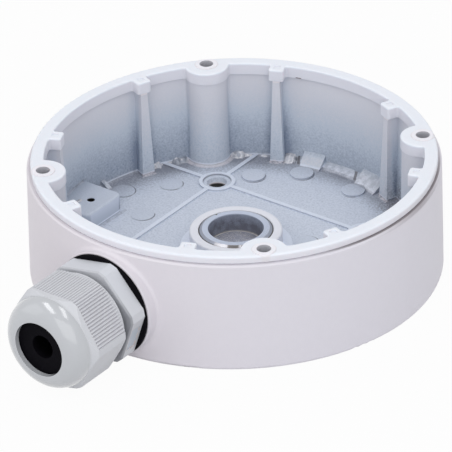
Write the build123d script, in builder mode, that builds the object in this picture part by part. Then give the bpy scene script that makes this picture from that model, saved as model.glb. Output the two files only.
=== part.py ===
from build123d import *
from math import atan, cos, degrees, hypot, radians, sin
import os

# Junction box for a dome camera: a cast drum, open upwards, with a rubber gasket on its rim,
# a cable gland in its side and a threaded plug in the hole through its base. Millimetres.
# The origin is the centre of the base, +Z is up and the gland points along -Y.

# Fits
thread_clearance = 0.1          # between a plain thread and its hole, on the radius
running_gap = 0.35              # between the turning nut and what it turns on
slip_gap = 0.1                  # rubber in or round metal

# Gland, along its own axis from the drum outwards
hex_across_flats = 32.0         # spanner size of the body, and of the nut
hex_corner_rise = 1.75          # how far a turned-off corner stands above the flats
hex_length = 6.7
hex_turn = 11.3                 # a corner of the body's hexagon, from +X towards +Z
hex_rounding = 0.5
window_length = 9.0             # shallow blank window on one flat of the body
window_width = 4.2
window_depth = 0.2
entry_thread_radius = 12.5      # screws into the side of the drum
entry_thread_length = 10.6
washer_overhang = 1.8           # washer beyond the flats
washer_thickness = 1.3
nut_gap = 1.5                   # between body and nut, left open until a cable is clamped
nut_travel = 1.1                # how far the nut still screws in
clamp_thread_radius = 13.0      # carries the nut
clamp_thread_length = 11.0
thread_lead_in = 0.6
claw_wall = 2.1
claw_taper = 0.7                # tip of a claw, in from its root
claw_lead_in = 0.4
claw_count = 12
claw_slot = 1.5
body_bore_radius = 8.8
body_bore_step = 5.0            # seat of the seal, in from the start of the claws

# Dome nut
nut_turn = 1.0                  # a corner of the nut's hexagon, from +X towards +Z
nut_prism_length = 17.8
nut_end_radius = 15.7
nut_end_chamfer = 1.2
nut_end_ring = 0.9              # plain ring behind the chamfer
dome_radius = 15.8              # foot of the dome
dome_rounding = 6.2
dome_wall = 1.7
mouth_radius = 9.4              # where the cable goes in
knurl_pitch = 1.07
knurl_depth = 0.42
knurl_groove = 0.75             # width of one groove
knurl_count = 15                # grooves on each knurled flat
knurl_corner_count = 2          # and on each corner between such flats
knurl_corner_step = 3.4         # degrees from groove to groove on a corner
knurl_band = 0.4                # plain band behind the dome

# Seal inside the nut
cable_radius = 4.03
seal_flange_length = 4.8
seal_lead_in = 0.8

# Drum
drum_radius = 68.5              # at the rim
outer_draft = 0.65              # growth of the radius down to the base
wall_thickness = 4.5            # at the rim
inner_draft = 2.0               # narrowing of the inside down to the floor
rim_band = 1.6                  # wall above the gland's boss
rim_bevel = 0.6
boss_margin = 0.4               # boss beyond the washer
boss_base_gap = 0.3             # between the boss and the base plane
boss_projection = 2.5           # in front of the rim's radius
boss_blend = 1.2                # hollow rounding at its foot
boss_edge = 0.3
base_rounding = 1.0
foot_height = 2.2               # the floor's underside stands this far off the wall
foot_width = 6.0
floor_thickness = 3.0
floor_rounding = 1.5

# Gasket
gasket_flange = 2.7             # above the rim
gasket_lip = 1.5                # below the rim, inside the mouth of the drum
gasket_lip_width = 1.1
gasket_setback = 1.3            # in from the outside of the rim
gasket_rounding = 0.7
gasket_inner_rounding = 0.5
gasket_corner = 0.9             # corners of its lobes and tabs, seen from above
gasket_undercut = 0.35          # bevel under its outer edge, leaves a dark seam over the rim
lobe_margin = 0.5               # beyond the screw column
hole_collar_radius = 3.8
hole_collar_height = 0.25
tab_width = 5.2
tab_reach = 4.0                 # inwards from the ring
tab_mark = 2.2                  # square mark on each tab
tab_mark_depth = 0.3
tab_mark_inset = 1.5            # centre of the mark, in from the ring

# Screw columns and ribs inside the wall
column_count = 4
column_radius = 7.0
column_draft = 0.5
column_foot = 1.0               # rounding where a column meets the floor
column_blend = 1.0              # and where it meets the wall
screw_inset = 0.7               # screw circle, in from the mouth of the drum
screw_hole_radius = 1.65        # tapped M4
screw_hole_depth = 26.0
screw_passage = 0.65            # gasket hole beyond the tapped hole
rib_count = 8
rib_width = 2.4
rib_foot_width = 4.8
rib_reach = 4.5                 # in from the wall, at the top
rib_foot_reach = 3.8

# Floor
wall_hole_pitch = 62.0          # square of the four fixing holes
wall_hole_radius = 3.45
ring_radius = 6.25
ring_height = 0.8
ring_recess_radius = 4.9
ring_recess_depth = 0.6
foot_boss_radius = 8.5
floor_rib_width = 1.5
floor_rib_height = 0.7
block_front = 17.8              # earthing block, in from the wall
block_near = 21.3               # its side nearest the gland, along -Y
block_far = 2.3
block_height = 6.8
block_rounding = 2.2
block_edge = 0.8                # rounding of its top edges
block_hole_radius = 1.35
block_hole_depth = 5.0
block_hole_inset = 5.9          # from the front of the block
ejector_radius = 4.0
raised_ejector = 0.8
flush_ejector = 0.15
raised_ejectors = [(-23.2, 41.4), (-10.3, 52.0), (11.1, 52.2)]
flush_ejectors = [(-54.1, 8.3), (-43.5, 21.3), (-39.0, -0.7), (17.7, 15.5)]
gate_wedges = [                 # left by casting at the foot of the wall: angles, reach, height
    (67.0, 106.0, 3.6, 1.8),
    (71.5, 81.5, 5.4, 4.0),
    (96.5, 104.0, 5.4, 4.0),
    (173.0, 174.6, 4.2, 2.6),
]

# Rear hole and its plug
plug_thread_radius = 12.5
plug_bore_radius = 9.35
plug_bore_depth = 6.45
plug_rise = 0.45                # above the top of the collar
plug_chamfer = 1.1              # of its upper end, across
plug_chamfer_height = 0.8
plug_lip_rounding = 1.4
plug_head_rise = 0.3            # outer face above the base plane
plug_head_thickness = 1.6
plug_head_reach = 2.9           # beyond the thread
plug_slot_width = 2.4
plug_slot_depth = 1.4
plug_slot_length = 20.0
collar_wall = 3.0
collar_height = 6.8
collar_step = 3.2               # low step round the foot of the collar
collar_step_height = 0.8
collar_chamfer = 0.15
collar_edge = 0.6               # rounding of its outer edge
o_ring_section = 1.5
rear_boss_wall = 3.4

# Places that follow from those sizes
hex_corner_radius = hex_across_flats / 2 + hex_corner_rise
washer_radius = hex_across_flats / 2 + washer_overhang
boss_radius = washer_radius + boss_margin
gland_height = boss_radius + boss_base_gap
rim_height = gland_height + boss_radius + rim_band
base_radius = drum_radius + outer_draft
drum_mouth_radius = drum_radius - wall_thickness
wall_foot_radius = drum_mouth_radius - inner_draft
wall_middle_radius = drum_radius - wall_thickness / 2
floor_top = foot_height + floor_thickness
seat_height = rim_height - gasket_lip
top_height = rim_height + gasket_flange
screw_circle_radius = drum_mouth_radius - screw_inset
boss_face = drum_radius + boss_projection
hex_back = boss_face + washer_thickness
hex_front = hex_back + hex_length
nut_back = hex_front + nut_gap
nut_front = nut_back + nut_prism_length
dome_front = nut_front + dome_rounding
claw_start = hex_front + clamp_thread_length
nut_bore_radius = clamp_thread_radius + running_gap
nut_room_radius = dome_radius - dome_wall
seal_front = dome_front - dome_wall - running_gap
seal_flange_back = seal_front - seal_flange_length
seal_flange_radius = nut_room_radius - running_gap
claw_end = seal_flange_back - nut_travel - running_gap
claw_outer_radius = clamp_thread_radius - thread_lead_in
claw_inner_radius = claw_outer_radius - claw_wall
seal_seat = claw_start - body_bore_step
seal_back = seal_seat + nut_travel + running_gap
seal_radius = claw_inner_radius - running_gap
collar_top = floor_top + collar_height
collar_bore_radius = plug_thread_radius + thread_clearance
collar_radius = collar_bore_radius + collar_wall
plug_top = collar_top + plug_rise
plug_head_radius = plug_thread_radius + plug_head_reach
plug_seat = plug_head_rise + plug_head_thickness + o_ring_section
gasket_outer_radius = drum_radius - gasket_setback
gasket_lip_radius = drum_mouth_radius - slip_gap
gasket_inner_radius = gasket_lip_radius - gasket_lip_width
tab_mark_radius = gasket_inner_radius - tab_mark_inset

gland_axis = Axis((0, 0, gland_height), (0, 1, 0))
gland_section = Plane.XY.offset(gland_height)


def gland_plane(distance):
    # Plane across the gland's axis, facing outwards, at a distance from the drum's axis
    return Plane(origin=(0, -distance, gland_height), x_dir=(1, 0, 0), z_dir=(0, -1, 0))


def spoke_plane(height, angle):
    # Level plane whose x direction points outwards at an angle
    spoke = (cos(radians(angle)), sin(radians(angle)), 0)
    return Plane(origin=(0, 0, height), x_dir=spoke, z_dir=(0, 0, 1))


def radial_plane(angle):
    # Upright plane through the drum's axis, with its x direction outwards at an angle
    spoke = (cos(radians(angle)), sin(radians(angle)), 0)
    return Plane(origin=(0, 0, 0), x_dir=spoke, z_dir=(spoke[1], -spoke[0], 0))


def circles_of(piece, radius):
    # Circular edges of one radius
    round_edges = piece.edges().filter_by(GeomType.CIRCLE)
    return round_edges.filter_by(lambda edge: abs(edge.radius - radius) < 0.01)


def within_mouth(items):
    # Edges or corners that lie nearer the drum's axis than the mouth of the drum
    limit = gasket_lip_radius - slip_gap
    return items.filter_by(lambda item: hypot(item.center().X, item.center().Y) < limit)


def cylinders_of(piece, radius):
    # Cylindrical faces of one radius
    round_faces = piece.faces().filter_by(GeomType.CYLINDER)
    return round_faces.filter_by(lambda face: abs((face.radius or 0) - radius) < 0.01)


with BuildPart() as housing:
    # Drum with its floor, one section turned about the vertical axis
    with BuildSketch(Plane.XZ) as drum_section:
        with BuildLine():
            Polyline(
                (0, foot_height),
                (base_radius - foot_width, foot_height),
                (base_radius - foot_width, 0),
                (base_radius, 0),
                (drum_radius, rim_height - rim_bevel),
                (drum_radius - rim_bevel, rim_height),
                (drum_mouth_radius, rim_height),
                (wall_foot_radius, floor_top),
                (0, floor_top),
                close=True,
            )
        make_face()
        base_corner = drum_section.vertices().sort_by_distance((base_radius, 0, 0))[0]
        fillet(base_corner, base_rounding)
        floor_corner = drum_section.vertices().sort_by_distance((wall_foot_radius, 0, floor_top))[0]
        fillet(floor_corner, floor_rounding)
    revolve(axis=Axis.Z)

    # Round boss on the outside of the wall, under the gland's washer
    with BuildSketch(gland_plane(drum_mouth_radius + running_gap)):
        Circle(boss_radius)
    extrude(amount=boss_face - drum_mouth_radius - running_gap)
    boss_side = cylinders_of(housing, boss_radius)
    fillet(boss_side.edges().filter_by(GeomType.BSPLINE), boss_blend)
    fillet(circles_of(housing, boss_radius).sort_by(Axis.Y)[0], boss_edge)

    # Columns that take the camera's screws, with draft, under the gasket's lobes
    column_height = seat_height - floor_top
    with BuildSketch(Plane.XY.offset(floor_top)):
        with PolarLocations(screw_circle_radius, column_count, start_angle=45):
            Circle(column_radius + column_draft)
        Circle(wall_middle_radius, mode=Mode.INTERSECT)
    extrude(amount=column_height, taper=degrees(atan(column_draft / column_height)))
    fillet(circles_of(housing, column_radius + column_draft), column_foot)
    long_edges = housing.edges().filter_by(lambda edge: edge.length > column_height / 2)
    fillet(within_mouth(long_edges.filter_by(GeomType.BSPLINE)), column_blend)

    # Earthing block against the wall
    block_face = drum_mouth_radius - block_front
    with BuildSketch(Plane.XY.offset(floor_top)) as block_outline:
        with Locations((-block_face, -block_far)):
            Rectangle(block_front + wall_thickness, block_near - block_far, align=(Align.MAX, Align.MAX))
        fillet(block_outline.vertices().group_by(Axis.X)[-1], block_rounding)
        Circle(wall_middle_radius, mode=Mode.INTERSECT)
    extrude(amount=block_height)
    block_hole = (-block_face - block_hole_inset, -(block_near + block_far) / 2, floor_top + block_height)
    block_top = housing.faces().filter_by(Axis.Z).sort_by_distance(block_hole)[0]
    fillet(block_top.edges().sort_by(Axis.X)[1:], block_edge)
    with Locations(block_hole):
        Hole(block_hole_radius, depth=block_hole_depth)

    # Ribs under the gasket's tabs, wider and deeper at the foot
    for index in range(rib_count):
        angle = (index + 0.5) * 360 / rib_count
        with BuildSketch(spoke_plane(floor_top - 0.5, angle)):
            with Locations((wall_middle_radius, 0)):
                Rectangle(
                    wall_thickness / 2 + inner_draft + rib_foot_reach,
                    rib_foot_width,
                    align=(Align.MAX, Align.CENTER),
                )
        with BuildSketch(spoke_plane(seat_height, angle)):
            with Locations((wall_middle_radius, 0)):
                Rectangle(
                    wall_thickness / 2 + rib_reach,
                    rib_width,
                    align=(Align.MAX, Align.CENTER),
                )
        loft()

    # Bosses on the underside: round the rear hole and round the fixing holes
    with BuildSketch(Plane.XY):
        Circle(plug_head_radius + running_gap + rear_boss_wall)
        with GridLocations(wall_hole_pitch, wall_hole_pitch, 2, 2):
            Circle(foot_boss_radius)
    extrude(amount=foot_height)

    # Collar round the rear hole, with a low step round its foot
    with BuildSketch(Plane.XY.offset(floor_top)):
        Circle(collar_radius)
    extrude(amount=collar_height)
    fillet(circles_of(housing, collar_radius).sort_by(Axis.Z)[-1], collar_edge)
    with BuildSketch(Plane.XY.offset(floor_top)):
        Circle(collar_radius + collar_step)
    extrude(amount=collar_step_height)

    # Thin ribs that cross the floor through the fixing holes, and a ring round each hole
    with BuildSketch(Plane.XY.offset(floor_top)):
        with GridLocations(wall_hole_pitch, 0, 2, 1):
            Rectangle(floor_rib_width, 2 * drum_radius)
        with GridLocations(0, wall_hole_pitch, 1, 2):
            Rectangle(2 * drum_radius, floor_rib_width)
        Circle(wall_foot_radius + inner_draft, mode=Mode.INTERSECT)
    extrude(amount=floor_rib_height)
    with BuildSketch(Plane.XY.offset(floor_top)):
        with GridLocations(wall_hole_pitch, wall_hole_pitch, 2, 2):
            Circle(ring_radius)
    extrude(amount=ring_height)

    # Marks of the ejector pins
    with BuildSketch(Plane.XY.offset(floor_top)):
        with Locations(*raised_ejectors):
            Circle(ejector_radius)
    extrude(amount=raised_ejector)
    with BuildSketch(Plane.XY.offset(floor_top)):
        with Locations(*flush_ejectors):
            Circle(ejector_radius)
    extrude(amount=flush_ejector)

    # Ledges of metal that casting left at the foot of the wall
    for start, end, reach, height in gate_wedges:
        with BuildSketch(radial_plane(start)):
            with BuildLine():
                Polyline(
                    (wall_foot_radius - reach, floor_top),
                    (wall_foot_radius, floor_top + height),
                    (wall_middle_radius, floor_top + height),
                    (wall_middle_radius, foot_height + 1),
                    (wall_foot_radius - reach, foot_height + 1),
                    close=True,
                )
            make_face()
        revolve(axis=Axis.Z, revolution_arc=end - start)

    # Holes for the camera's screws and for the fixing screws
    with Locations(Plane.XY.offset(seat_height)):
        with PolarLocations(screw_circle_radius, column_count, start_angle=45):
            Hole(screw_hole_radius, depth=screw_hole_depth)
    with Locations(Plane.XY.offset(floor_top + ring_height)):
        with GridLocations(wall_hole_pitch, wall_hole_pitch, 2, 2):
            CounterBoreHole(wall_hole_radius, ring_recess_radius, ring_recess_depth)

    # Rear hole, its chamfered mouth and the recess for the head of the plug
    with Locations((0, 0, collar_top)):
        Hole(collar_bore_radius)
    chamfer(circles_of(housing, collar_bore_radius).sort_by(Axis.Z)[-1], collar_chamfer)
    with BuildSketch(Plane.XY):
        Circle(plug_head_radius + running_gap)
    extrude(amount=plug_seat, mode=Mode.SUBTRACT)

    # Hole for the gland
    with Locations(gland_plane(boss_face)):
        Hole(entry_thread_radius + thread_clearance, depth=boss_face - drum_mouth_radius + 8)

housing.part.label = "housing"


with BuildPart() as rim_gasket:
    # Upper layer lies on the rim, lower layer reaches into the mouth of the drum
    layers = [
        (seat_height, gasket_lip, gasket_lip_radius),
        (rim_height, gasket_flange, gasket_outer_radius),
    ]
    for height, thickness, outer_radius in layers:
        with BuildSketch(Plane.XY.offset(height)) as layer:
            Circle(outer_radius)
            Circle(gasket_inner_radius, mode=Mode.SUBTRACT)
            with PolarLocations(screw_circle_radius, column_count, start_angle=45):
                Circle(column_radius + lobe_margin)
            with PolarLocations(gasket_inner_radius + 1, rib_count, start_angle=180 / rib_count):
                Rectangle(2 * (tab_reach + 1), tab_width)
            Circle(outer_radius, mode=Mode.INTERSECT)
            fillet(within_mouth(layer.vertices()), gasket_corner)
        extrude(amount=thickness)
    outer_edges = circles_of(rim_gasket, gasket_outer_radius).group_by(Axis.Z)
    fillet(outer_edges[-1], gasket_rounding)
    chamfer(outer_edges[0], gasket_undercut)
    gasket_top = rim_gasket.faces().sort_by(Axis.Z)[-1]
    fillet(gasket_top.inner_wires()[0].edges(), gasket_inner_rounding)

    # Raised collar round each screw passage, and a square mark on each tab
    with BuildSketch(Plane.XY.offset(top_height)):
        with PolarLocations(screw_circle_radius, column_count, start_angle=45):
            Circle(hole_collar_radius)
        Circle(gasket_outer_radius - gasket_rounding, mode=Mode.INTERSECT)
    extrude(amount=hole_collar_height)
    with Locations(Plane.XY.offset(top_height + hole_collar_height)):
        with PolarLocations(screw_circle_radius, column_count, start_angle=45):
            Hole(screw_hole_radius + screw_passage)
    with BuildSketch(Plane.XY.offset(top_height)):
        with PolarLocations(tab_mark_radius, rib_count, start_angle=180 / rib_count):
            Rectangle(tab_mark, tab_mark)
    extrude(amount=-tab_mark_depth, mode=Mode.SUBTRACT)

rim_gasket.part.label = "rim_gasket"


with BuildPart() as gland_washer:
    with BuildSketch(gland_plane(boss_face)):
        Circle(washer_radius)
        Circle(entry_thread_radius + slip_gap, mode=Mode.SUBTRACT)
    extrude(amount=washer_thickness)
    fillet(circles_of(gland_washer, washer_radius), washer_thickness / 3)

gland_washer.part.label = "gland_washer"


with BuildPart() as gland_body:
    # Spanner hexagon with turned-off corners
    with BuildSketch(gland_plane(hex_back)):
        RegularPolygon(hex_across_flats / 2, 6, major_radius=False, rotation=hex_turn)
        Circle(hex_corner_radius, mode=Mode.INTERSECT)
    extrude(amount=hex_length)
    fillet(gland_body.faces().sort_by(Axis.Y)[0].edges(), hex_rounding)
    window_angle = radians(hex_turn - 30)
    window_centre = (
        hex_across_flats / 2 * cos(window_angle),
        -hex_back - hex_length / 2,
        gland_height + hex_across_flats / 2 * sin(window_angle),
    )
    with BuildSketch(Plane(window_centre, x_dir=(0, 1, 0), z_dir=(cos(window_angle), 0, sin(window_angle)))):
        Rectangle(window_width, window_length)
    extrude(amount=-window_depth, mode=Mode.SUBTRACT)

    # Threads on each side of it and the claws, one section turned about the gland's axis
    with BuildSketch(gland_section):
        with BuildLine():
            Polyline(
                (body_bore_radius, entry_thread_length - hex_back),
                (entry_thread_radius - thread_lead_in, entry_thread_length - hex_back),
                (entry_thread_radius, entry_thread_length - hex_back - thread_lead_in),
                (entry_thread_radius, -hex_back),
                (clamp_thread_radius, -hex_back),
                (clamp_thread_radius, thread_lead_in - claw_start),
                (claw_outer_radius, -claw_start),
                (claw_outer_radius - claw_taper, -claw_end),
                (claw_inner_radius + claw_lead_in, -claw_end),
                (claw_inner_radius, claw_lead_in - claw_end),
                (claw_inner_radius, -seal_seat),
                (body_bore_radius, -seal_seat),
                close=True,
            )
        make_face()
    revolve(axis=gland_axis)
    with BuildSketch(gland_plane(hex_back)):
        Circle(body_bore_radius)
    extrude(amount=seal_seat - hex_back, mode=Mode.SUBTRACT)
    with BuildSketch(gland_plane(seal_seat)):
        Circle(claw_inner_radius)
    extrude(amount=claw_end - seal_seat, mode=Mode.SUBTRACT)
    with BuildSketch(gland_plane(claw_start)):
        with PolarLocations((claw_inner_radius + claw_outer_radius) / 2, claw_count):
            Rectangle(2 * claw_wall, claw_slot)
    extrude(amount=claw_end - claw_start, mode=Mode.SUBTRACT)

gland_body.part.label = "gland_body"


with BuildPart() as gland_seal:
    # Rubber sleeve with a flange behind the mouth of the nut
    with BuildSketch(gland_section) as seal_section:
        with BuildLine():
            Polyline(
                (cable_radius, -seal_back),
                (seal_radius - seal_lead_in, -seal_back),
                (seal_radius, -seal_back - seal_lead_in),
                (seal_radius, -seal_flange_back),
                (seal_flange_radius, -seal_flange_back),
                (seal_flange_radius, -seal_front),
                (cable_radius, -seal_front),
                close=True,
            )
        make_face()
        seal_corner = (seal_flange_radius, -seal_front, gland_height)
        fillet(
            seal_section.vertices().sort_by_distance(seal_corner)[0],
            dome_rounding - dome_wall - running_gap,
        )
    revolve(axis=gland_axis)

gland_seal.part.label = "gland_seal"


with BuildPart() as gland_nut:
    # Turned outline: chamfered end, hexagon's corners, then the dome rolled in to the mouth
    dome_start = nut_front - (hex_corner_radius - dome_radius)
    with BuildSketch(gland_section) as nut_section:
        with BuildLine():
            Polyline(
                (0, -dome_front),
                (0, -nut_back),
                (nut_end_radius, -nut_back),
                (nut_end_radius, -nut_back - nut_end_ring),
                (hex_corner_radius, -nut_back - nut_end_ring - nut_end_chamfer),
                (hex_corner_radius, -dome_start),
                (dome_radius, -nut_front),
            )
            RadiusArc(
                (dome_radius, -nut_front),
                (dome_radius - dome_rounding, -dome_front),
                dome_rounding,
            )
            Line((dome_radius - dome_rounding, -dome_front), (0, -dome_front))
        make_face()
    revolve(axis=gland_axis)

    # The prism's flats
    with BuildSketch(gland_plane(nut_back)):
        Circle(2 * hex_corner_radius)
        RegularPolygon(
            hex_across_flats / 2,
            6,
            major_radius=False,
            rotation=nut_turn,
            mode=Mode.SUBTRACT,
        )
    extrude(amount=nut_prism_length, mode=Mode.SUBTRACT)

    # Inside: thread, room for the claws and the seal, and the lip of the mouth
    room_front = dome_front - dome_wall
    with BuildSketch(gland_section):
        with BuildLine():
            Polyline(
                (0, -room_front),
                (0, -nut_back),
                (nut_bore_radius, -nut_back),
                (nut_bore_radius, -claw_start),
                (nut_room_radius, -claw_start - thread_lead_in),
                (nut_room_radius, -nut_front),
            )
            RadiusArc(
                (nut_room_radius, -nut_front),
                (dome_radius - dome_rounding, -room_front),
                dome_rounding - dome_wall,
            )
            Line((dome_radius - dome_rounding, -room_front), (0, -room_front))
        make_face()
    revolve(axis=gland_axis, mode=Mode.SUBTRACT)
    with BuildSketch(gland_plane(nut_front)):
        Circle(mouth_radius)
    extrude(amount=dome_rounding, mode=Mode.SUBTRACT)

    # Fine grooves along the flats, all but one
    groove = [(knurl_depth, -knurl_groove), (knurl_depth, knurl_groove), (-knurl_depth, 0)]
    with BuildSketch(gland_plane(nut_back)):
        for side in range(5):
            with PolarLocations(hex_across_flats / 2, 1, start_angle=nut_turn + 30 + 60 * side):
                with GridLocations(0, knurl_pitch, 1, knurl_count):
                    Polygon(*groove, align=None)
        for corner in range(1, 5):
            for step in range(knurl_corner_count):
                turn = nut_turn + 60 * corner + (step - (knurl_corner_count - 1) / 2) * knurl_corner_step
                with PolarLocations(hex_corner_radius, 1, start_angle=turn):
                    Polygon(*groove, align=None)
    extrude(amount=dome_start - knurl_band - nut_back, mode=Mode.SUBTRACT)

gland_nut.part.label = "gland_nut"


with BuildPart() as plug_o_ring:
    with BuildSketch(Plane.XZ):
        with Locations((plug_thread_radius + plug_head_reach / 2 + 0.2, plug_seat - o_ring_section / 2)):
            Circle(o_ring_section / 2)
    revolve(axis=Axis.Z)

plug_o_ring.part.label = "plug_o_ring"


with BuildPart() as rear_plug:
    with BuildSketch(Plane.XZ) as plug_section:
        with BuildLine():
            Polyline(
                (0, plug_head_rise),
                (plug_head_radius, plug_head_rise),
                (plug_head_radius, plug_head_rise + plug_head_thickness),
                (plug_thread_radius, plug_head_rise + plug_head_thickness),
                (plug_thread_radius, plug_top - plug_chamfer_height),
                (plug_thread_radius - plug_chamfer, plug_top),
                (plug_bore_radius, plug_top),
                (plug_bore_radius, plug_top - plug_bore_depth),
                (0, plug_top - plug_bore_depth),
                close=True,
            )
        make_face()
        lip_corner = plug_section.vertices().sort_by_distance((plug_bore_radius, 0, plug_top))[0]
        fillet(lip_corner, plug_lip_rounding)
    revolve(axis=Axis.Z)
    with BuildSketch(Plane.XY.offset(plug_head_rise)):
        SlotOverall(plug_slot_length, plug_slot_width)
    extrude(amount=plug_slot_depth, mode=Mode.SUBTRACT)

rear_plug.part.label = "rear_plug"


os.makedirs("parts", exist_ok=True)
for piece in (housing, rim_gasket, gland_washer, gland_body, gland_seal, gland_nut, plug_o_ring, rear_plug):
    export_step(piece.part, f"parts/{piece.part.label}.step")
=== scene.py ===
from functools import reduce
from math import cos, pi, radians, sin

import bpy
import numpy as np
from mathutils import Matrix, Vector


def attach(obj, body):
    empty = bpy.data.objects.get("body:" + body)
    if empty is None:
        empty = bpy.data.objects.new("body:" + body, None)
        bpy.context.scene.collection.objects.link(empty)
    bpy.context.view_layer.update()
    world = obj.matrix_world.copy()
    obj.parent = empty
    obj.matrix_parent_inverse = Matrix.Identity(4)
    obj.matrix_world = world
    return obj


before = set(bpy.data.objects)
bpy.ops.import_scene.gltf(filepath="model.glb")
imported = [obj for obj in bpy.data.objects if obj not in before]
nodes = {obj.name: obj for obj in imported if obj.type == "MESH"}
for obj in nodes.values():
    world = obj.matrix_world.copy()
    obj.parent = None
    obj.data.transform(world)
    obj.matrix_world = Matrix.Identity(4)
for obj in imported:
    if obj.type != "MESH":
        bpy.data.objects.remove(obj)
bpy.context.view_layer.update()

mm = 0.001
print("frame loaded:", ", ".join(sorted(nodes)))


def paint(red, green, blue):
    # Screen values from 0 to 255, as the linear colour that a shader takes
    levels = np.array([red, green, blue]) / 255
    linear = np.where(levels <= 0.04045, levels / 12.92, ((levels + 0.055) / 1.055) ** 2.4)
    return (*linear.tolist(), 1.0)


class Wire:
    # One socket of a material. Arithmetic on it adds Math nodes, so shader maths reads as plain sums
    def __init__(self, tree, socket):
        self.tree = tree
        self.socket = socket

    def add(self, kind, settings=None, inputs=None, out=0):
        # Any node: its settings first, a ramp's stops among them, then the values or links of its sockets
        made = self.tree.nodes.new("ShaderNode" + kind)
        for name, value in (settings or {}).items():
            if name == "stops":
                while len(made.color_ramp.elements) < len(value):
                    made.color_ramp.elements.new(1.0)
                for stop, (position, colour) in zip(made.color_ramp.elements, value):
                    stop.position = position
                    stop.color = colour
            else:
                setattr(made, name, value)
        for name, value in (inputs or {}).items():
            if isinstance(value, Wire):
                self.tree.links.new(value.socket, made.inputs[name])
            else:
                made.inputs[name].default_value = value
        return Wire(self.tree, made.outputs[out])

    def maths(self, operation, *terms):
        return self.add("Math", {"operation": operation}, dict(enumerate(terms)))

    def __add__(self, other):
        return self.maths("ADD", self, other)

    def __radd__(self, other):
        return self.maths("ADD", other, self)

    def __sub__(self, other):
        return self.maths("SUBTRACT", self, other)

    def __rsub__(self, other):
        return self.maths("SUBTRACT", other, self)

    def __mul__(self, other):
        return self.maths("MULTIPLY", self, other)

    def __rmul__(self, other):
        return self.maths("MULTIPLY", other, self)

    def __pow__(self, other):
        return self.maths("POWER", self, other)

    def __abs__(self):
        return self.maths("ABSOLUTE", self)

    def least(self, other):
        return self.maths("MINIMUM", self, other)

    def most(self, other):
        return self.maths("MAXIMUM", self, other)

    def rise(self, low, high):
        # Smooth step from 0 at low to 1 at high
        settings = {"interpolation_type": "SMOOTHSTEP"}
        return self.add("MapRange", settings, {"Value": self, "From Min": low, "From Max": high})

    def fall(self, low, high):
        return 1 - self.rise(low, high)

    def band(self, low, high, soft):
        # 1 between low and high, with edges of one softness
        return self.rise(low - soft, low + soft) * self.fall(high - soft, high + soft)

    def pick(self, plain, covered):
        # A colour: plain where this mask is 0, covered where it is 1
        return self.add("Mix", {"data_type": "RGBA"}, {0: self, 6: plain, 7: covered}, 2)

    def noise(self, scale, detail=2.0, rough=0.5):
        # Noise on a vector in millimetres; scale is in waves for each millimetre
        inputs = {"Vector": self, "Scale": scale, "Detail": detail, "Roughness": rough}
        return self.add("TexNoise", {}, inputs)


def newFinish(name):
    # A material with its Principled shader, and Object coordinates in millimetres
    material = bpy.data.materials.new(name)
    material.use_nodes = True
    tree = material.node_tree
    shader = tree.nodes["Principled BSDF"]
    place = Wire(tree, tree.nodes.new("ShaderNodeTexCoord").outputs["Object"])
    here = place.add("VectorMath", {"operation": "SCALE"}, {0: place, "Scale": 1 / mm})
    return material, shader, here


def split(here):
    # The three coordinates of a vector, each as a value
    parts = here.add("SeparateXYZ", {}, {0: here})
    outputs = parts.socket.node.outputs
    return [Wire(here.tree, outputs[axis]) for axis in range(3)]


def dress(shader, values):
    # Values or links for the shader's sockets
    for name, value in values.items():
        if isinstance(value, Wire):
            value.tree.links.new(value.socket, shader.inputs[name])
        else:
            shader.inputs[name].default_value = value


def bump(height, distance):
    # Surface relief: height from 0 to 1, distance in millimetres
    return height.add("Bump", {}, {"Height": height, "Distance": distance * mm, "Strength": 1.0})


def between(x, y, centreX, centreY):
    # Distance in plan from a centre, or from a line of such centres
    across = x - centreX
    along = y - centreY
    return (across * across + along * along) ** 0.5


def bearing(along, across):
    # Angle in degrees, as atan2 gives it
    return along.maths("ARCTAN2", along, across) * (180 / pi)


def greatest(masks):
    # The largest of several masks, point by point
    return reduce(Wire.most, masks)


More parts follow.
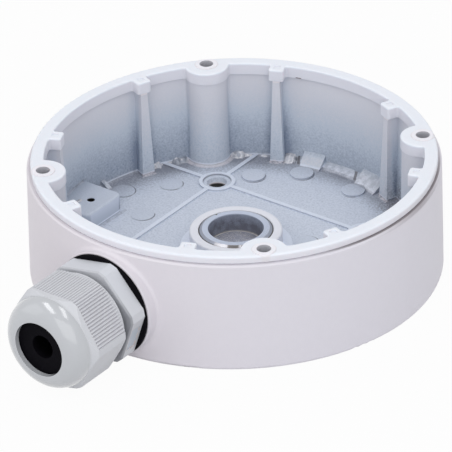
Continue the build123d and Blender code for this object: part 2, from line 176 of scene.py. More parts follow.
# The cast drum: outside it is powder coated. Inside it has only overspray, which is thick high on the
# wall, thin and grainy low down and in the corners, and missing in places at the foot of the wall. The
# darkening low down and in the corners is partly that thin coat and partly painted shade
casting = {
    "outside": paint(219, 214, 220),
    "outsideShaded": paint(216, 214, 222),
    "outsideCloud": paint(206, 203, 212),
    "coatThick": paint(209, 209, 216),
    "coatMiddle": paint(190, 199, 211),
    "coatThinAndShade": paint(138, 149, 168),
    "floorThick": paint(214, 221, 234),
    "floorMiddle": paint(200, 208, 222),
    "floorThinAndShade": paint(141, 145, 157),
    "raised": paint(230, 237, 250),
    "blockShadedLow": paint(126, 138, 156),
    "ribEndHighlight": paint(232, 226, 228),
    "foot": paint(218, 214, 220),
    "collar": paint(229, 231, 239),
    "brown": paint(104, 98, 101),
    "raw": paint(196, 199, 208),
    "rawDark": paint(142, 147, 158),
    "rawBright": paint(226, 224, 226),
    "rawCoat": paint(190, 194, 204),
    # painted shade deep in the holes
    "hole": paint(14, 12, 12),
    "wedgeShadow": paint(70, 66, 68),
    "seam": paint(124, 117, 120),
    "darkLineAndShade": paint(96, 98, 108),

    # Where things are. A pair is the start and the end of a soft edge or of a band. Radii are from the
    # drum's axis, heights from the floor unless they are said to be from the base, and angles from +X
    "floorTop": 5.2,                # from the base
    "rimTop": 38.3,                 # from the base
    "insideHeight": (3.2, 3.8),     # from the base
    "wallOutside": 66.3,            # past this radius a surface belongs to the outside
    "shadedSide": (-20, 70),          # along X
    "seamRadius": (67.8, 68.1),
    "openSeam": (-24, 34),          # angles where the gasket stands off the rim most
    "widestSeam": (-4, 20),         # angles

    "thinAndShadeHeights": (2, 32),            # heights
    "wallRadius": (59, 62),
    "farWall": (60, 108),           # angles of the wall that is lighter low down
    "innerFaces": (60.2, 61.6),     # radii of what faces the middle, nearer than the wall
    "ribAngle": 22.5,
    "besideRib": (1.6, 6.0),        # from the middle of a rib
    "ribEndHalf": (1.2, 1.4),
    "ribEndFront": (58, 59),        # radii
    "ribEndBack": (59.7, 60.2),     # radii
    "ribEndHeight": (30.4, 30.8),
    "columnPlace": 44.76,           # of a screw column, along X and Y
    "besideColumn": (7.3, 12),      # from the middle of a column

    "footRadius": (47, 60.5),
    "footGrain": (50, 58),          # radii
    "raisedHeight": (0.55, 0.66),
    "stepHeight": (0.28, 0.5),      # the sides of the thin floor ribs and pads, painted as shade
    "stepRadius": (56, 57),
    "standingHeight": (0.9, 1.3),   # above it a surface belongs to the wall or the block
    "standingRadius": (53, 54),
    "markHeight": (1.0, 1.3),       # marks of the floor stay under it
    "collarEdge": (16.1, 16.4),     # radii
    "collarHeight": (1.0, 1.6),
    "recessEdge": (4.7, 5.0),       # distances from a fixing hole's centre
    "wallHoles": (31.0, 3.55, 3.1),     # place along X and Y, radius, and top of the painted shade from the base
    "pads": [
        (-23.2, 41.4), (-10.3, 52.0), (11.1, 52.2), (-54.1, 8.3), (-43.5, 21.3), (-39.0, -0.7), (17.7, 15.5),
    ],
    "padRadius": 4.0,
    "padShade": (-4, 3),            # across a pad, from its lit side to its painted-shadow side
    "brownCorner": (50.0, 65.0),    # angles
    "brownRadius": (51, 58),
    "brownHeight": (0, 16),

    "block": (-46.2, -21.3, -2.3),  # its front along X, and its two sides along Y
    "blockTop": 6.8,                # from the floor
    "blockShade": (1, 7.6),         # heights
    "blockCorner": (55, 62),        # radii
    "blockEnd": (61.5, 62.3),       # radii
    "blockHole": (-52.1, -11.8, 1.45),      # its centre and radius
    "blockGrit": (1.2, 0.5, 0.9),   # its width, and the two heights of its soft upper edge
    "blockBackFront": (-50, -49),   # along X
    "blockBackRadius": (61.4, 61.9),        # grit where the block meets the wall

    "ledges": (69.8, 106.0),        # angles of the ledges at the foot of the wall
    "ledgeCoated": (95.9, 104.6),   # of the one that has a coat
    "ledgeFront": (56.2, 56.5),     # radii
    "ledgeBack": (61.85, 62.15),    # radii
    "ledgeHeight": (0.2, 4.4),
    "ledgeShade": (57.5, 61.5),     # radii
    # Painted shadows in the gaps beside the wedges: two angles at the wedge's tip, and degrees of lean for
    # each millimetre
    "wedgeShadows": [(81.5, 82.6, 0.5), (104.0, 105.0, 0.28)],
    "notchRadius": (57, 61.9),      # the first is the tip's
    "notchHeight": (0.2, 3.6),
    "bar": (172.7, 174.9),          # angles
    "barFront": (57, 57.4),         # radii
    "barBack": (62, 62.3),          # radii
    "barHeight": (0.1, 0.3),
    "ribFootHalf": (2.5, 2.9),
    "ribFootRadius": (57.4, 58.9),
    "ribFootHeight": (0.7, 1.2),
    "columnFoot": (7.6, 8.9),       # from the middle of a column
    "columnFootHeight": (0.6, 1.1),
    "columnFootEnd": (62, 64),      # radii
    "wallLineRadius": (61.2, 62.2),
    "wallLineHeight": (0.5, 1.6),
}


def castingFinish():
    material, shader, here = newFinish("cast_housing")
    c = casting
    x, y, z = split(here)
    radius = between(x, y, 0, 0)
    angle = bearing(y, x)
    height = z - c["floorTop"]
    sideX = abs(x)
    sideY = abs(y)
    column = between(sideX, sideY, c["columnPlace"], c["columnPlace"])
    turn = radians(c["ribAngle"])
    ribSide = abs(sideX.least(sideY) * cos(turn) - sideX.most(sideY) * sin(turn))
    inside = radius.fall(c["wallOutside"] - 0.2, c["wallOutside"] + 0.2) * z.rise(*c["insideHeight"])
    cloud = here.noise(0.08, 3)
    grain = here.noise(1.5, 2, 0.6) - 0.5
    ragged = here.noise(0.34, 4, 0.7)
    grit = here.noise(1.1, 3, 0.7)

    # Wall, columns and ribs: darker downwards and into the corners, partly thin coat and partly painted
    # shade, less on what faces the middle
    low = height.fall(*c["thinAndShadeHeights"])
    cornerThinAndShade = ribSide.fall(*c["besideRib"]) * 0.36 + column.fall(*c["besideColumn"]) * 0.07
    cornerThinAndShade = cornerThinAndShade * radius.rise(*c["wallRadius"]) * (0.4 + low * 0.6)
    facing = radius.fall(*c["innerFaces"]) * 0.45 + angle.band(*c["farWall"], 4) * 0.22
    thinAndShade = (low * 0.78 + cornerThinAndShade) * (1 - facing) * (0.75 + cloud * 0.5)
    thinAndShade = thinAndShade + grain * (0.16 + low * 0.75)
    wallStops = [(0.0, c["coatThick"]), (0.42, c["coatMiddle"]), (1.0, c["coatThinAndShade"])]
    wallColour = thinAndShade.add("ValToRGB", {"stops": wallStops}, {0: thinAndShade})

    # Marks of the ejector pins: a thin dark line round each, with painted shadow on the side away from the
    # light, and a fuller coat on top
    ringLinesAndShadow = []
    padTops = []
    for padX, padY in c["pads"]:
        fromPad = between(x, y, padX, padY)
        padTops.append(fromPad.fall(c["padRadius"] - 0.1, c["padRadius"]))
        shaded = ((x - padX) * 0.8 + (y - padY) * 0.2).rise(*c["padShade"])
        ringLinesAndShadow.append(fromPad.band(c["padRadius"] + 0.02, c["padRadius"] + 0.4, 0.1) * shaded)
    ringLinesAndShadow = greatest(ringLinesAndShadow)
    padTops = greatest(padTops)

    # Floor: darker along the foot of the wall, partly thin coat and partly painted shade; ribs and rings that
    # stand up from it are lighter, and their sides get painted shade
    foot = radius.rise(*c["footRadius"]) * (0.4 + cloud * 0.8) + 0.18
    foot = foot + grain * (1.4 - radius.rise(*c["footGrain"]) * 0.6)
    floorStops = [(0.0, c["floorThick"]), (0.35, c["floorMiddle"]), (1.0, c["floorThinAndShade"])]
    floorColour = foot.add("ValToRGB", {"stops": floorStops}, {0: foot})
    raised = height.rise(*c["raisedHeight"]) * (0.7 - padTops * 0.5)
    floorColour = raised.pick(floorColour, c["raised"])
    # Painted shade on the sides of the thin floor ribs and pads
    stepSideShade = height.band(*c["stepHeight"], 0.06) * radius.fall(*c["stepRadius"])
    floorColour = (stepSideShade * 0.45).pick(floorColour, c["darkLineAndShade"])
    standing = height.rise(*c["standingHeight"]) * radius.rise(*c["standingRadius"])
    colour = standing.pick(floorColour, wallColour)

    # Earthing block, with painted shade low on it and toward the wall, painted highlights on the top ends of
    # the ribs, and the collar
    blockFront, blockLeft, blockRight = c["block"]
    block = x.fall(blockFront - 0.1, blockFront + 0.1) * height.rise(*c["standingHeight"])
    block = block * y.band(blockLeft - 0.1, blockRight + 0.1, 0.1) * radius.fall(*c["blockEnd"])
    blockLightAndShade = height.rise(*c["blockShade"]) + grain * 0.5 - radius.rise(*c["blockCorner"]) * 0.5
    blockColour = blockLightAndShade.pick(c["blockShadedLow"], c["floorMiddle"])
    colour = (block * 0.9).pick(colour, blockColour)
    # Painted highlight on the top end of each rib
    ribEndHighlight = ribSide.fall(*c["ribEndHalf"]) * radius.fall(*c["ribEndBack"])
    ribEndHighlight = ribEndHighlight * radius.rise(*c["ribEndFront"]) * height.rise(*c["ribEndHeight"])
    colour = (ribEndHighlight * 0.8).pick(colour, c["ribEndHighlight"])
    collar = radius.fall(*c["collarEdge"]) * height.rise(*c["collarHeight"])
    colour = collar.pick(colour, c["collar"])

    # Marks on the floor, and painted shade at the edge of each fixing hole's recess
    marks = height.fall(*c["markHeight"])
    colour = (padTops * 0.4 * marks).pick(colour, c["floorMiddle"])
    ringLinesAndShadow = ringLinesAndShadow * marks * here.noise(0.16, 2).rise(0.32, 0.5)
    colour = (ringLinesAndShadow * 0.8).pick(colour, c["darkLineAndShade"])
    holePlace, wallHoleRadius, wallHoleTop = c["wallHoles"]
    fromWallHole = between(sideX, sideY, holePlace, holePlace)
    recessEdgeShade = fromWallHole.band(*c["recessEdge"], 0.1)
    colour = (recessEdgeShade * marks * 0.4).pick(colour, c["darkLineAndShade"])

    # Darker brown, grainy, in the corner between the far right rib and its column
    brown = angle.band(*c["brownCorner"], 3) * radius.rise(*c["brownRadius"]) * height.fall(*c["brownHeight"])
    colour = (brown * (0.36 + grain * 3)).most(0).least(1).pick(colour, c["brown"])

    # Bare metal: ledges, the bar beside the block, lines along the foot of the wall, and grit along the
    # block's front and back
    ledge = angle.band(*c["ledges"], 0.2) * radius.fall(*c["ledgeBack"])
    ledge = ledge * radius.rise(*c["ledgeFront"]) * height.band(*c["ledgeHeight"], 0.1)
    ledge = ledge * (1 - angle.band(*c["ledgeCoated"], 0.3) * (0.55 + ragged * 0.6)).most(0)
    bar = angle.band(*c["bar"], 0.1) * radius.fall(*c["barBack"])
    bar = bar * radius.rise(*c["barFront"]) * height.rise(*c["barHeight"])
    gritWidth, gritFull, gritTop = c["blockGrit"]
    blockFoot = x.band(blockFront, blockFront + gritWidth, 0.3) * y.band(blockLeft, blockRight + 1, 0.6)
    blockFoot = blockFoot * height.fall(gritFull, gritTop) * grit.rise(0.36, 0.56) * 0.8
    blockBack = y.band(blockLeft, blockRight, 0.4) * x.fall(*c["blockBackFront"])
    blockBack = blockBack * radius.rise(*c["blockBackRadius"])
    blockBack = blockBack * height.band(c["blockTop"] - 0.2, c["blockTop"] + 0.5, 0.15) * 0.8
    wallLine = radius.band(*c["wallLineRadius"], 0.3) * height.band(*c["wallLineHeight"], 0.4)
    wallLine = wallLine * ragged.rise(0.46, 0.6) * 0.8
    raw = greatest([ledge, bar, blockFoot, blockBack, wallLine]) * inside
    streak = here.add("Mapping", {}, {"Vector": here, "Scale": (0.5, 0.5, 0.16)}).noise(1.0, 3)
    metal = (streak * 0.7 + grit * 0.3).rise(0.36, 0.62).pick(c["rawDark"], c["raw"])
    # Ledges darker towards the wall as painted shade, with streaks and grain
    ledgeGrainAndShade = radius.fall(*c["ledgeShade"]) * 0.4 + streak.rise(0.4, 0.62) * 0.5 + grain * 1.6
    metal = ledge.pick(metal, ledgeGrainAndShade.pick(c["rawDark"], c["raw"]))
    colour = (raw * 0.72).pick(colour, metal)

    # Pale lines at the feet of ribs and columns, and painted shadows in the gaps beside the wedges
    ribFoot = ribSide.fall(*c["ribFootHalf"]) * radius.band(*c["ribFootRadius"], 0.3)
    ribFoot = ribFoot * height.fall(*c["ribFootHeight"]) * grit.rise(0.42, 0.54) * 0.75
    columnFoot = column.band(*c["columnFoot"], 0.3) * height.fall(*c["columnFootHeight"])
    columnFoot = columnFoot * radius.fall(*c["columnFootEnd"]) * ragged.rise(0.25, 0.5) * 0.65
    colour = (ribFoot.most(columnFoot) * inside).pick(colour, c["foot"])
    wedgeShadows = []
    for start, end, lean in c["wedgeShadows"]:
        wedgeShadows.append((angle - (radius - c["notchRadius"][0]) * lean).band(start, end, 0.15))
    wedgeShadow = greatest(wedgeShadows) * radius.band(*c["notchRadius"], 0.15) * height.band(*c["notchHeight"], 0.2)
    colour = (wedgeShadow * 0.75).pick(colour, c["wedgeShadow"])

    # Painted shade in the depth of the block's hole and of the fixing holes
    holeX, holeY, holeRadius = c["blockHole"]
    dark = between(x, y, holeX, holeY).fall(holeRadius - 0.1, holeRadius)
    dark = dark * height.band(0.5, c["blockTop"] - 0.2, 0.2)
    through = fromWallHole.fall(wallHoleRadius - 0.05, wallHoleRadius + 0.05)
    dark = dark.most(through * z.fall(wallHoleTop - 0.3, wallHoleTop + 0.3))

    # Outside: painted shade as a cooler tint on the +X side, and painted shade in the seam under the gasket's
    # edge
    sideShade = x.rise(*c["shadedSide"]).pick(c["outside"], c["outsideShaded"])
    outer = (here.noise(0.5, 3).rise(0.3, 0.7) * 0.1).pick(sideShade, c["outsideCloud"])
    # Painted shade in the seam under the gasket's edge, widest where it stands off the rim
    openSeam = 0.12 + angle.band(*c["openSeam"], 10) * 0.78
    seam = z.rise(c["rimTop"] - 0.3, c["rimTop"] - 0.1) * radius.fall(*c["seamRadius"])
    wide = z.rise(c["rimTop"] - 1.5, c["rimTop"] - 0.4) * angle.band(*c["widestSeam"], 14)
    outer = (seam.most(wide * 0.7) * openSeam).pick(outer, c["seam"])
    peel = here.noise(1.4, 2) * 0.6 + here.noise(4.5, 1) * 0.4
    dress(shader, {
        "Base Color": dark.pick(inside.pick(outer, colour), c["hole"]),
        "Roughness": 0.46 + inside * 0.16 - raw * 0.22,
        "Metallic": raw * 0.4,
        "Normal": bump(peel * (1 - raw) * 0.3 + ragged * raw * 0.35, 0.12),
        "Specular IOR Level": 0.42,
    })
    return material


# The pale rubber ring on the rim: its top and inner side are painted as lit and shaded copies, and its screw
# holes carry painted shade
gasket = {
    "top": paint(230, 234, 242),
    # the side is a painted-shade copy of the top
    "side": paint(222, 222, 229),
    "cloud": paint(222, 224, 234),
    "collar": paint(235, 233, 239),
    "mark": paint(216, 208, 206),
    "tick": paint(96, 80, 74),
    "tickPlace": (105.0, 106.8, 37.15),     # two angles, and the height that it stays under
    "topHeight": 41.0,
    "holeCollar": 3.8,      # radius of the ring round a screw hole
    "boreShade": paint(172, 172, 178),
    "boreRadius": 2.35,
    "markRadius": 61.3,     # centre of a tab's square mark
    "markHalf": 1.1,
    "markHeight": (38.5, 39.5),
}


def gasketFinish():
    material, shader, here = newFinish("gasket_silicone")
    g = gasket
    x, y, z = split(here)
    sideX = abs(x)
    sideY = abs(y)
    turn = radians(casting["ribAngle"])
    far = sideX.most(sideY)
    near = sideX.least(sideY)
    alongRib = far * cos(turn) + near * sin(turn) - g["markRadius"]
    acrossRib = near * cos(turn) - far * sin(turn)
    square = abs(alongRib).most(abs(acrossRib))
    outline = square.band(g["markHalf"] - 0.2, g["markHalf"] + 0.08, 0.12) * z.rise(*g["markHeight"])
    hole = between(sideX, sideY, casting["columnPlace"], casting["columnPlace"])
    collar = hole.fall(g["holeCollar"] - 0.1, g["holeCollar"] + 0.3)
    ring = hole.band(g["holeCollar"] - 0.1, g["holeCollar"] + 0.3, 0.15) * 0.3
    litTop = z.rise(g["topHeight"] - 0.9, g["topHeight"] - 0.3)
    colour = litTop.pick(g["side"], g["top"])
    colour = (collar * litTop * 0.8).pick(colour, g["collar"])
    colour = ring.pick(colour, g["mark"])
    # Painted shade in the screw holes
    colour = (hole.fall(g["boreRadius"], g["boreRadius"] + 0.1) * 0.8).pick(colour, g["boreShade"])
    colour = (outline * here.noise(0.5, 2).rise(0.35, 0.7) * 0.3).pick(colour, g["mark"])
    tickStart, tickEnd, tickTop = g["tickPlace"]
    tick = bearing(y, x).band(tickStart, tickEnd, 0.15) * z.fall(tickTop - 0.1, tickTop)
    colour = tick.pick(colour, g["tick"])
    dress(shader, {
        "Base Color": (here.noise(0.12, 3).rise(0.3, 0.8) * 0.08).pick(colour, g["cloud"]),
        "Roughness": 0.42 + here.noise(0.3, 2) * 0.1,
        "Normal": bump(here.noise(0.9, 3), 0.05),
        "Subsurface Weight": 0.35,
        "Subsurface Radius": (0.9, 0.8, 0.8),
        "Subsurface Scale": 1.2 * mm,
        "Specular IOR Level": 0.35,
    })
    return material


# Nylon of the gland: glossy on the dome, matt on the flats. The upper hexagon has painted light, its face
# toward the nut painted shadow, and the knurl's grooves painted shade
nylon = {
    "body": paint(202, 204, 209),
    "cloud": paint(190, 192, 200),
    "dome": paint(180, 183, 187),
    "hexLitTop": paint(206, 209, 216),
    "hexFaceShadow": paint(130, 132, 138),
    "groove": paint(166, 164, 170),
    "rub": paint(206, 190, 184),
    "windowTone": paint(178, 190, 204),
    "axisHeight": 18.5,
    "flat": 16.0,           # half of the spanner size
    "nutTurn": 1.0,         # degrees that the nut's flats are turned from the upright
    "bodyTurn": 11.3,       # and those of the body's hexagon
    "knurled": (-96.2, -82.5),      # along Y, as the next four
    "domeBack": -98.0,
    "hex": (-79.0, -72.3),
    "hexStart": (-78.8, -78.6),
    "hexFront": (-79.3, -78.3),
    "hexUpper": (2, 12),            # heights over the axis
    "hexFaceUpper": (4, 14),
    "grooveDepth": (0.42, 0.05),    # under the flats
    "grooveEnd": (17.35, 17.6),     # distances from the axis
    "window": (9.0, 4.2),           # sides of the shallow frame on a flat
    "windowFace": (15.5, 15.8),     # distances from the axis
}


def nylonFinish():
    material, shader, here = newFinish("gland_nylon")
    n = nylon
    x, y, z = split(here)
    up = z - n["axisHeight"]
    turns = [radians(n["nutTurn"] + 30 + 60 * side) for side in range(3)]
    flat = greatest([abs(x * cos(turn) + up * sin(turn)) for turn in turns])
    deep, shallow = n["grooveDepth"]
    groove = flat.fall(n["flat"] - deep, n["flat"] - shallow) * between(x, up, 0, 0).fall(*n["grooveEnd"])
    groove = groove * y.band(*n["knurled"], 0.1)
    windowTurn = radians(n["bodyTurn"] - 30)
    windowAcross = abs(up * cos(windowTurn) - x * sin(windowTurn)) - n["window"][0] / 2
    windowAlong = abs(y - sum(n["hex"]) / 2) - n["window"][1] / 2
    windowEdge = abs(windowAcross.most(windowAlong)).fall(0.1, 0.28)
    facingWindow = (x * cos(windowTurn) + up * sin(windowTurn)).rise(*n["windowFace"])
    windowEdge = windowEdge * facingWindow
    dome = y.fall(n["domeBack"] - 0.6, n["domeBack"] + 0.2)
    cloud = here.noise(0.16, 3)
    colour = (cloud.rise(0.3, 0.75) * 0.16).pick(n["body"], n["cloud"])
    colour = (dome * 0.8).pick(colour, n["dome"])
    colour = (y.rise(*n["hexStart"]) * up.rise(*n["hexUpper"]) * 0.8).pick(colour, n["hexLitTop"])
    # Painted shadow of the nut on the hexagon's face toward it
    hexFaceShadow = y.band(*n["hexFront"], 0.2) * (1 - up.rise(*n["hexFaceUpper"]) * 0.7)
    colour = (hexFaceShadow * 0.8).pick(colour, n["hexFaceShadow"])
    # Painted shade in the knurl's grooves
    colour = (groove * 0.75).pick(colour, n["groove"])
    window = windowAcross.most(windowAlong).fall(-0.1, 0.1) * facingWindow
    colour = (window * 0.6).pick(colour, n["windowTone"])
    colour = (windowEdge * here.noise(0.9, 2).rise(0.35, 0.6) * 0.7).pick(colour, n["rub"])
    grain = here.noise(3.0, 2)
    dress(shader, {
        "Base Color": colour,
        "Roughness": 0.44 - dome * 0.27 + here.noise(0.4, 2) * 0.05,
        "Normal": bump(grain * (1 - dome * 0.8), 0.012),
        "Specular IOR Level": 0.5,
        "Coat Weight": dome * 0.9,
        "Coat Roughness": 0.06,
    })
    return material


# Black rubber of the washer, the seal and the O-ring, with painted shade deep in the seal's cable hole
rubber = {
    "black": paint(9, 8, 13),
    "worn": paint(15, 14, 20),
    # painted shade in the cable hole
    "deep": paint(1, 1, 2),
    "mouth": (-102.0, -99.0),   # along Y
    "cableHole": (4.1, 4.4),    # distances from the axis
}


def rubberFinish(name, shadeHole):
    material, shader, here = newFinish(name)
    x, y, z = split(here)
    worn = here.noise(0.5, 3).rise(0.45, 0.75) * 0.5
    colour = worn.pick(rubber["black"], rubber["worn"])
    if shadeHole:
        holeShade = between(x, z, 0, nylon["axisHeight"]).fall(*rubber["cableHole"])
        colour = (holeShade * y.rise(*rubber["mouth"])).pick(colour, rubber["deep"])
    dress(shader, {
        "Base Color": colour,
        "Roughness": 0.6 + here.noise(0.8, 2) * 0.15,
        "Normal": bump(here.noise(2.0, 3), 0.03),
        "Specular IOR Level": 0.05,
    })
    return material


# The rear plug: turned aluminium, with overspray on its lip and in its hollow. Painted shade darkens the
# hollow low down, a painted highlight runs along the disc's edge, and the chamfer has painted dark
# reflections and a painted shadow line at its outer edge
plug = {
    "metal": paint(160, 160, 165),
    "scratched": paint(244, 242, 240),
    "disc": paint(208, 210, 225),
    "discDark": paint(150, 152, 166),
    "discEdgeHighlight": paint(250, 246, 240),
    "coat": paint(192, 201, 219),
    "worn": paint(152, 160, 176),
    "dark": paint(100, 102, 114),
    "chamferCoat": paint(158, 164, 178),
    "chamferShadeColour": paint(70, 64, 62),
    "speckColour": paint(84, 76, 74),
    "hollow": 9.35,         # radius
    "lip": 11.4,            # radius where the chamfer starts
    "chamferEnd": (12.0, 12.4),     # radii
    "chamferRim": (12.15, 12.4),    # radii of the painted shadow line at the outer edge
    "hollowFloor": 6.0,     # from the base, as the top
    "top": 12.45,
    "wornSide": (2, 14),    # along X
    "speckPlace": (-10.6, 3.4),
    "dullTurn": -37.0,      # the middle of the chamfer's coated part, from +Y clockwise
    "dullHalf": 145.0,
    "chamferShade": [(-67, -49), (-44.5, -41.5)],   # angles of the painted dark reflections on the bare rest
}


def plugFinish():
    material, shader, here = newFinish("plug_aluminium")
    p = plug
    x, y, z = split(here)
    radius = between(x, y, 0, 0)
    angle = bearing(y, x)
    turned = radius.add("TexNoise", {"noise_dimensions": "1D"}, {"W": radius, "Scale": 6.0, "Detail": 4.0})
    scratchSettings = {"Vector": here, "Scale": (0.25, 2.6, 0.5), "Rotation": (0, 0, 0.5)}
    scratch = here.add("Mapping", {}, scratchSettings).noise(1.0, 4, 0.7)
    grain = here.noise(2.4, 3, 0.7)
    high = z.rise(p["top"] - 1.6, p["top"] - 1.0)
    lip = radius.band(p["hollow"] - 0.05, p["lip"] - 0.05, 0.08) * z.rise(p["top"] - 0.5, p["top"] - 0.2)
    wall = radius.fall(p["hollow"] + 0.3, p["hollow"] + 0.5)
    wall = wall * z.band(p["hollowFloor"] + 0.2, p["top"] - 0.3, 0.12)
    chamfer = radius.rise(p["lip"] - 0.02, p["lip"] + 0.06) * high
    disc = radius.fall(p["hollow"] - 0.3, p["hollow"] - 0.15)
    disc = disc * z.band(p["hollowFloor"] - 0.3, p["hollowFloor"] + 0.3, 0.05)
    shade = greatest([angle.band(*ends, 2) for ends in p["chamferShade"]])
    blotch = here.noise(0.4, 3) - 0.5
    marks = (scratch.rise(0.5, 0.64) * 0.6 + grain.rise(0.56, 0.66)).least(1)
    discTone = (blotch * 1.6 + 0.5).pick(p["discDark"], p["disc"])
    metal = disc.pick(p["metal"], marks.pick(discTone, p["scratched"]))
    wallGrainAndShade = (grain - 0.5) * 0.9 + blotch * 1.6 + 0.1 + z.rise(p["hollowFloor"] + 1.5, p["top"]) * 0.7
    colour = wall.pick(metal, wallGrainAndShade.pick(p["dark"], p["worn"]))
    dull = abs(bearing(-1 * x, y) + p["dullTurn"]).fall(p["dullHalf"] - 8, p["dullHalf"] + 8) * chamfer
    dullCoatAndShade = radius.rise(*p["chamferEnd"]) + grain * 0.3 - 0.15
    colour = dull.pick(colour, dullCoatAndShade.pick(p["chamferCoat"], p["chamferShadeColour"]))
    # Painted dark reflections on the bare chamfer, and a painted shadow line at its outer edge
    shade = chamfer * shade.most(radius.rise(*p["chamferRim"])) * 0.8
    colour = shade.pick(colour, p["chamferShadeColour"])
    # Painted highlight along the disc's edge
    edgeHighlight = radius.band(p["hollow"] - 0.65, p["hollow"] - 0.2, 0.08)
    edgeHighlight = edgeHighlight * z.fall(p["hollowFloor"] + 0.5, p["hollowFloor"] + 0.7)
    colour = edgeHighlight.pick(colour, p["discEdgeHighlight"])
    coatWear = x.rise(*p["wornSide"]) * grain.rise(0.4, 0.6) * 0.6
    colour = lip.pick(colour, coatWear.pick(p["coat"], p["worn"]))
    speck = between(x, y, *p["speckPlace"]).fall(0.22, 0.5) * lip
    colour = speck.pick(colour, p["speckColour"])
    coated = lip.most(wall * 0.8).most(dull * 0.9)
    dress(shader, {
        "Base Color": colour,
        "Metallic": (1 - coated) * (1 - disc * 0.45),
        "Roughness": 0.3 + scratch * 0.14 + coated * 0.2,
        "Normal": bump(turned * 0.4 + scratch * 0.6, 0.02),
    })
    return material


def rawMetalFinish():
    # Bright patchy metal of the cast ledges, with the drum's thin coat over part of it
    material, shader, here = newFinish("raw_casting")
    c = casting
    grit = here.noise(1.1, 3, 0.7)
    coat = (here.noise(0.45, 3, 0.6) * 0.7 + grit * 0.3).rise(0.44, 0.6) * 0.85
    metal = here.noise(0.45, 2).rise(0.36, 0.6).pick(c["rawDark"], c["rawBright"])
    dress(shader, {
        "Base Color": coat.pick(metal, c["rawCoat"]),
        "Metallic": (1 - coat) * 0.3,
        "Roughness": 0.36 + coat * 0.3,
        "Normal": bump(grit, 0.03),
    })
    return material


finishes = {
    "housing": castingFinish(),
    "rim_gasket": gasketFinish(),
    "rear_plug": plugFinish(),
}
glandNylon = nylonFinish()
finishes["gland_body"] = glandNylon
finishes["gland_nut"] = glandNylon
finishes["gland_washer"] = rubberFinish("washer_rubber", False)
finishes["plug_o_ring"] = finishes["gland_washer"]
finishes["gland_seal"] = rubberFinish("seal_rubber", True)
rawMetal = rawMetalFinish()
for name, material in finishes.items():
    # A CAD node keeps its slots, and each takes the new finish
    for slot in nodes[name].material_slots:
        slot.material = material
print("finishes on", len(finishes), "nodes")


def meshPiece(name, points, material, body):
    # A closed tube from rings of points: quads between neighbouring rings, and a fan of
    # triangles from the middle of each end ring. Faces are turned outwards by the sign of the volume
    ringLinesAndShadow, around = points.shape[:2]
    index = np.arange(ringLinesAndShadow * around).reshape(ringLinesAndShadow, around)
    following = np.roll(index, -1, axis=1)
    quads = np.stack([index[:-1], following[:-1], following[1:], index[1:]], axis=-1).reshape(-1, 4)
    middles = points[[0, -1]].mean(axis=1)
    vertices = np.vstack([points.reshape(-1, 3), middles])
    startFan = np.stack([following[0], index[0], np.full(around, ringLinesAndShadow * around)], axis=-1)
    endFan = np.stack([index[-1], following[-1], np.full(around, ringLinesAndShadow * around + 1)], axis=-1)
    triangles = np.vstack([quads[:, [0, 1, 2]], quads[:, [0, 2, 3]], startFan, endFan])
    corners = vertices[triangles]
    volume = np.einsum("ij,ij->i", corners[:, 0], np.cross(corners[:, 1], corners[:, 2])).sum()
    faces = quads.tolist() + startFan.tolist() + endFan.tolist()
    if volume < 0:
        faces = [face[::-1] for face in faces]
    mesh = bpy.data.meshes.new(name)
    mesh.from_pydata((vertices * mm).tolist(), [], faces)
    mesh.materials.append(material)
    mesh.polygons.foreach_set("use_smooth", np.ones(len(faces), bool))
    piece = bpy.data.objects.new(name, mesh)
    bpy.context.scene.collection.objects.link(piece)
    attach(piece, body)


def ripple(values, seed, slowest, count=9):
    # Sum of sine waves with seeded phases, each a little faster and lower than the last, from -1 to 1
    phases = np.random.default_rng(seed).uniform(0, 2 * pi, count)
    speeds = slowest * 1.55 ** np.arange(count)
    waves = np.sin(np.multiply.outer(values, speeds) + phases) / (1 + np.arange(count)) ** 0.5
    return waves.sum(axis=-1) / 3


# Threads of the gland, each a ridge along a helix on the plain cylinder of the CAD piece
threads = {
    "clampThread": {"core": 12.9, "crest": 13.24, "pitch": 2.0, "from": -79.15, "to": -89.7},
    "entryThread": {"core": 12.4, "crest": 12.58, "pitch": 1.5, "from": -61.9, "to": -71.9},
}


def threadRidge(name, core, crest, pitch, start, end):
    # Helix: the angle grows with the way along the axis, one turn for each pitch. Its section is a
    # low trapezoid, from the core out to the crest, that shrinks into the core at both ends
    turns = abs(end - start) / pitch
    steps = int(turns * 72)
    way = np.linspace(0, 1, steps)
    angle = 2 * pi * turns * way
    fade = np.clip(np.minimum(way, 1 - way) * turns * 3, 0, 1)
    widths = pitch * np.array([-0.46, -0.16, 0.16, 0.46])
    heights = np.array([-0.15, 1.0, 1.0, -0.15]) * (crest - core)
    out = core + np.where(heights > 0, heights * fade[:, None], heights)
    along = (start + (end - start) * way)[:, None] + widths * (0.3 + 0.7 * fade[:, None])
    x = out * np.cos(angle)[:, None]
    z = nylon["axisHeight"] + out * np.sin(angle)[:, None]
    meshPiece(name, np.stack([x, along, z], axis=-1), glandNylon, "box")


for name, t in threads.items():
    threadRidge(name, t["core"], t["crest"], t["pitch"], t["from"], t["to"])
print("threads on the gland's body")


